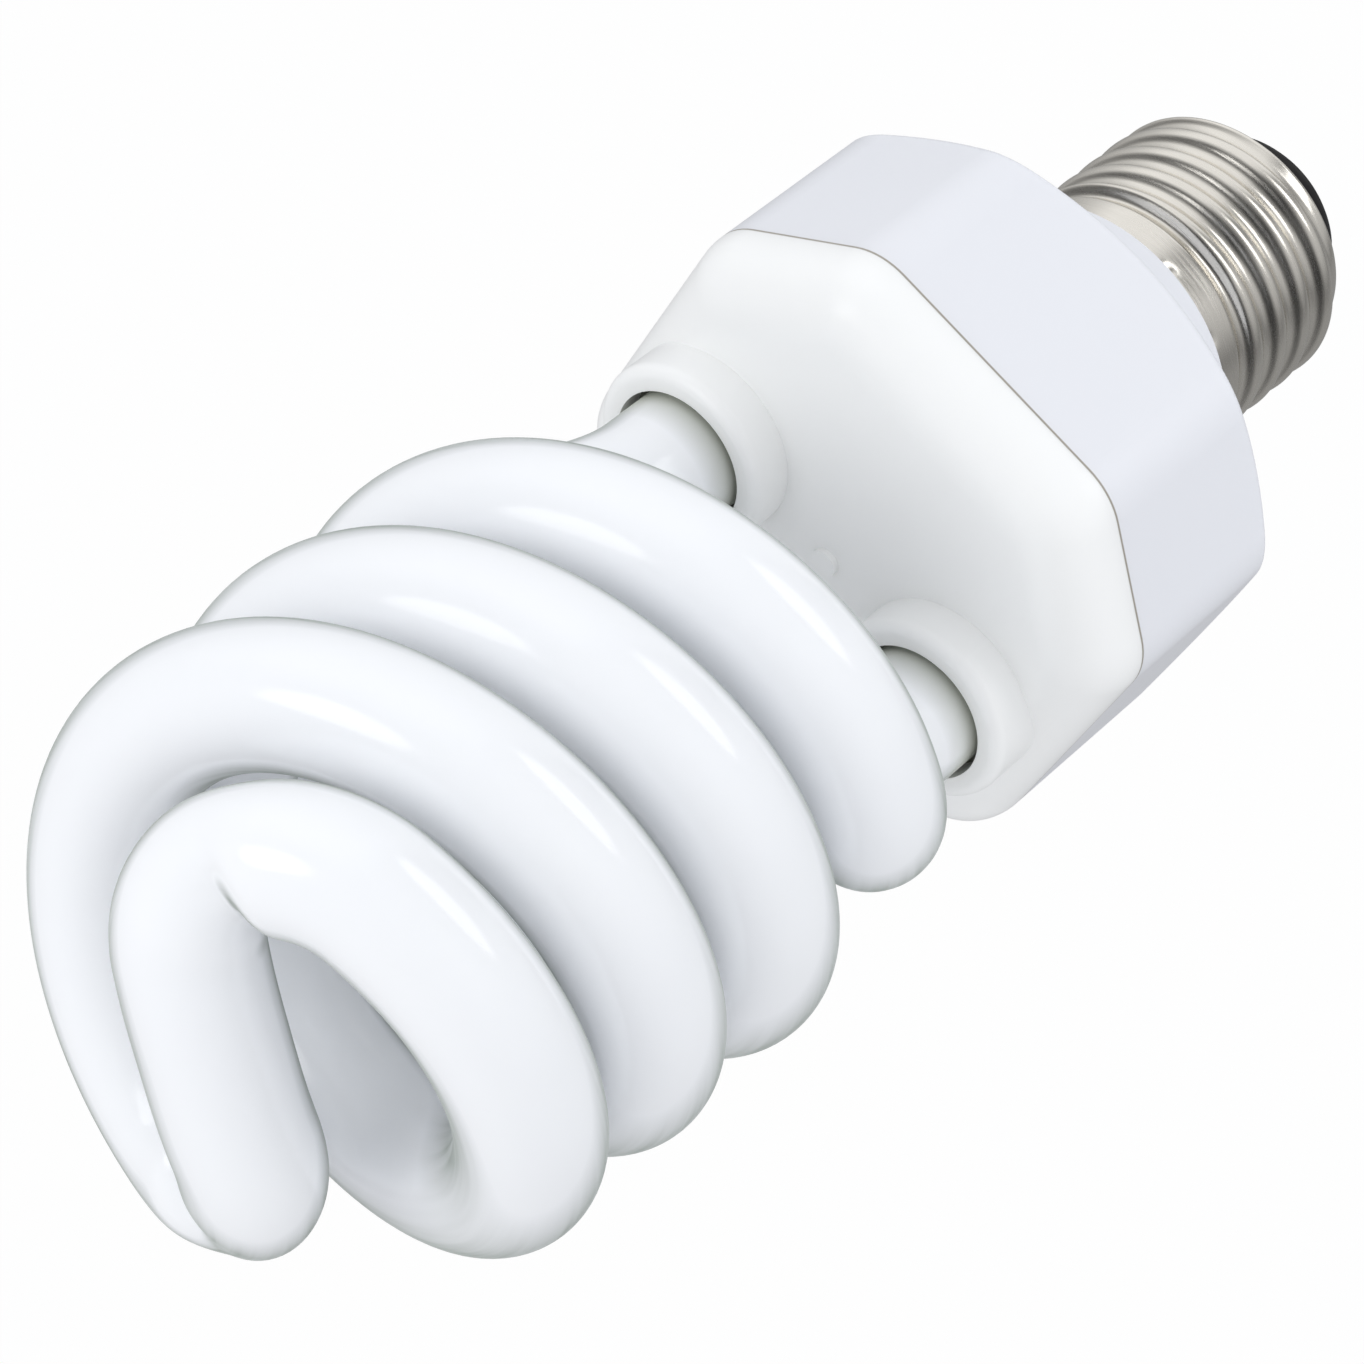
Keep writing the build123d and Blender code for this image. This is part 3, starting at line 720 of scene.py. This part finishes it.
INNER_FINISHES = {
    "circuit_board": ("board", (0.42, 0.28, 0.12), 0.55, 0.0),
    "smoothing_capacitor": ("sleeve", (0.02, 0.025, 0.05), 0.3, 0.0),
    "choke_core": ("ferrite", (0.03, 0.03, 0.03), 0.6, 0.0),
    "filter_core": ("drum_ferrite", (0.03, 0.03, 0.03), 0.6, 0.0),
    "choke_bobbin": ("bobbin", (0.03, 0.03, 0.028), 0.45, 0.0),
    "choke_winding": ("choke_wire", (0.45, 0.16, 0.05), 0.3, 0.6),
    "filter_winding": ("drum_wire", (0.45, 0.16, 0.05), 0.3, 0.6),
    "ring_core": ("ring_ferrite", (0.03, 0.08, 0.05), 0.5, 0.0),
    "ring_windings": ("ring_wire", (0.45, 0.16, 0.05), 0.3, 0.6),
    "transistor_1": ("transistor_case", (0.02, 0.02, 0.02), 0.5, 0.0),
    "transistor_2": ("second_transistor_case", (0.02, 0.02, 0.02), 0.5, 0.0),
    "rectifier_diodes": ("diode_case", (0.015, 0.015, 0.015), 0.45, 0.0),
    "resistors": ("resistor_case", (0.55, 0.42, 0.22), 0.5, 0.0),
    "trigger_diode": ("diode_glass", (0.03, 0.08, 0.35), 0.2, 0.0),
    "fuse_resistor": ("fuse_sleeve", (0.05, 0.10, 0.06), 0.7, 0.0),
    "resonant_capacitor": ("film_case", (0.30, 0.02, 0.01), 0.35, 0.0),
    "film_capacitor": ("small_film_case", (0.30, 0.02, 0.01), 0.35, 0.0),
    "wrap_pins": ("tinned", (0.62, 0.62, 0.60), 0.3, 1.0),
    "filament_leads": ("lead_wire", (0.62, 0.60, 0.55), 0.3, 1.0),
    "live_wire": ("live_insulation", (0.65, 0.65, 0.62), 0.5, 0.0),
    "neutral_wire": ("neutral_insulation", (0.65, 0.65, 0.62), 0.5, 0.0),
}


class LAMP_OT_inside(bpy.types.Operator):
    """Finish the circuit board and what it carries"""

    bl_idname = "lamp.inside"
    bl_label = "Board and its parts"

    def execute(self, context):
        for node, (name, colour, roughness, metallic) in INNER_FINISHES.items():
            dress(node, finish_material(name, colour, roughness, metallic=metallic, grain=1200, bump=0.15))
        return {"FINISHED"}


def soft_box(name, direction, distance, width, height, power):
    """An area light, upright, that faces the middle of the lamp."""
    middle, up = Vector((0, 0, 0.09)), Vector((0, 0, 1))
    data = bpy.data.lights.new(name, "AREA")
    data.shape = "ELLIPSE"
    data.size, data.size_y = width, height
    data.energy = power
    box = bpy.data.objects.new(name, data)
    back = Vector(direction).normalized()
    across = up.cross(back).normalized()
    over = back.cross(across)
    turn = Matrix((across, over, back)).transposed().to_4x4()
    box.matrix_world = Matrix.Translation(middle + back * distance) @ turn
    box.visible_camera = False
    bpy.context.scene.collection.objects.link(box)


SURROUNDINGS = (
    (-180, 0.28), (-100, 0.30), (-85, 0.16), (-60, 0.50), (-35, 0.60), (-20, 0.25),
    (5, 0.30), (20, 0.95), (70, 1.0), (95, 0.60), (130, 0.34), (180, 0.30),
)


def panel_strength(tree, direction, ceiling=None):
    """1, but for glossy rays the strength of the studio's panels and gaps, by the angle round the lamp."""
    split = tree.nodes.new("ShaderNodeSeparateXYZ")
    tree.links.new(direction, split.inputs["Vector"])
    turn = math_node(tree, "ARCTAN2", split.outputs["Y"], split.outputs["X"])
    ramp = tree.nodes.new("ShaderNodeValToRGB")
    tree.links.new(map_range(tree, turn, -math.pi, math.pi, 0.0, 1.0), ramp.inputs["Fac"])
    stops = ramp.color_ramp.elements
    while len(stops) < len(SURROUNDINGS):
        stops.new(0.5)
    for stop, (degrees, level) in zip(stops, SURROUNDINGS):
        stop.position = (degrees + 180) / 360
        stop.color = (level, level, level, 1)
    level = ramp.outputs["Color"]
    if ceiling:
        level = math_node(tree, "MULTIPLY", level, ceiling)
    rays = tree.nodes.new("ShaderNodeLightPath")
    strength = map_range(tree, rays.outputs["Is Glossy Ray"], 0.0, 1.0, 1.0, 1.0)
    tree.links.new(level, strength.node.inputs["To Max"])
    return strength


def white_rays(tree):
    """1 for camera, glossy and transmission rays, otherwise 0."""
    rays = tree.nodes.new("ShaderNodeLightPath")
    total = rays.outputs["Is Camera Ray"]
    for name in ("Is Glossy Ray", "Is Transmission Ray"):
        total = math_node(tree, "MAXIMUM", total, rays.outputs[name])
    return total


def blend_shaders(tree, factor, first, second, output):
    """Mixes two shaders into the output."""
    mix = tree.nodes.new("ShaderNodeMixShader")
    tree.links.new(factor, mix.inputs["Fac"])
    tree.links.new(first, mix.inputs[1])
    tree.links.new(second, mix.inputs[2])
    tree.links.new(mix.outputs["Shader"], output.inputs["Surface"])


def white_floor(scene):
    """A wide white floor below the lamp, which glows for camera, glossy and transmission rays."""
    height, reach, glow_share = -0.30, 12.0, 0.96
    corners = [(-reach, -reach), (reach, -reach), (reach, reach), (-reach, reach)]
    mesh = bpy.data.meshes.new("floor")
    mesh.from_pydata([(x, y, height) for x, y in corners], [], [(0, 1, 2, 3)])
    floor = bpy.data.objects.new("floor", mesh)
    scene.collection.objects.link(floor)
    material, tree, output = new_tree("floor_white")
    paint = tree.nodes.new("ShaderNodeBsdfDiffuse")
    paint.inputs["Color"].default_value = (0.82, 0.83, 0.84, 1)
    glow = tree.nodes.new("ShaderNodeEmission")
    tree.links.new(panel_strength(tree, object_place(tree)), glow.inputs["Strength"])
    share = math_node(tree, "MULTIPLY", white_rays(tree), glow_share)
    blend_shaders(tree, share, paint.outputs["BSDF"], glow.outputs["Emission"], output)
    mesh.materials.append(material)


def studio_world(scene):
    """Soft light from all sides; white for the camera, and panels under a dim ceiling for glossy rays."""
    soft_strength = 0.95
    wall_top, ceiling_start, ceiling_level = 0.05, 0.55, 0.12
    world = bpy.data.worlds.new("studio")
    scene.world = world
    world.use_nodes = True
    tree = world.node_tree
    tree.nodes.clear()
    output = tree.nodes.new("ShaderNodeOutputWorld")
    soft = tree.nodes.new("ShaderNodeBackground")
    soft.inputs["Color"].default_value = (0.97, 0.975, 1.0, 1)
    soft.inputs["Strength"].default_value = soft_strength
    white = tree.nodes.new("ShaderNodeBackground")
    white.inputs["Color"].default_value = (1, 1, 1, 1)
    sky = tree.nodes.new("ShaderNodeTexCoord")
    split = tree.nodes.new("ShaderNodeSeparateXYZ")
    tree.links.new(sky.outputs["Generated"], split.inputs["Vector"])
    ceiling = map_range(tree, split.outputs["Z"], wall_top, ceiling_start, 1.0, ceiling_level)
    tree.links.new(panel_strength(tree, sky.outputs["Generated"], ceiling), white.inputs["Strength"])
    blend_shaders(tree, white_rays(tree), soft.outputs["Background"], white.outputs["Background"], output)


def photo_camera(scene):
    """The camera that was fitted to the photo."""
    place = (0.33185, -0.04370, 0.32612)
    forward = Vector((-0.80348, 0.10490, -0.58602))
    up = Vector((0.46443, 0.72628, -0.50677))
    focal_pixels, image_width, sensor = 5063.8, 1364, 36.0
    nearest, farthest = 0.01, 50
    data = bpy.data.cameras.new("camera")
    data.sensor_width = sensor
    data.lens = sensor * focal_pixels / image_width
    data.clip_start, data.clip_end = nearest, farthest
    camera = bpy.data.objects.new("camera", data)
    right = forward.cross(up).normalized()
    turn = Matrix((right, right.cross(forward), -forward)).transposed().to_4x4()
    camera.matrix_world = Matrix.Translation(place) @ turn
    scene.collection.objects.link(camera)
    scene.camera = camera


class LAMP_OT_stage(bpy.types.Operator):
    """Make the floor, the soft light and the camera"""

    bl_idname = "lamp.stage"
    bl_label = "Stage"

    def execute(self, context):
        scene = context.scene
        scene.view_settings.view_transform = "Standard"
        white_floor(scene)
        studio_world(scene)
        soft_box("left_soft_box", (0.374, 0.416, 0.829), 0.55, 0.36, 0.24, 0.50)
        soft_box("right_soft_box", (0.832, -0.239, -0.50), 0.50, 0.34, 0.20, 0.36)
        photo_camera(scene)
        return {"FINISHED"}


OPERATORS = (LAMP_OT_tube, LAMP_OT_housing, LAMP_OT_cap, LAMP_OT_inside, LAMP_OT_stage)


class LAMP_PT_panel(bpy.types.Panel):
    """Lists the steps that make the lamp"""

    bl_idname = "LAMP_PT_panel"
    bl_label = "Lamp"
    bl_space_type = "VIEW_3D"
    bl_region_type = "UI"
    bl_category = "Lamp"

    def draw(self, context):
        for operator in OPERATORS:
            self.layout.operator(operator.bl_idname)
        for group in (context.scene.lamp_sizes, context.scene.lamp_colours):
            for name in type(group).__annotations__:
                self.layout.prop(group, name)


CLASSES = (LampSizes, LampColours, *OPERATORS, LAMP_PT_panel)


def register():
    for cls in CLASSES:
        bpy.utils.register_class(cls)
    bpy.types.Scene.lamp_sizes = bpy.props.PointerProperty(type=LampSizes)
    bpy.types.Scene.lamp_colours = bpy.props.PointerProperty(type=LampColours)


def unregister():
    del bpy.types.Scene.lamp_colours
    del bpy.types.Scene.lamp_sizes
    for cls in reversed(CLASSES):
        bpy.utils.unregister_class(cls)


def main():
    register()
    bpy.ops.lamp.tube()
    bpy.ops.lamp.housing()
    bpy.ops.lamp.cap()
    bpy.ops.lamp.inside()
    bpy.ops.lamp.stage()


if __name__ == "__main__":
    main()
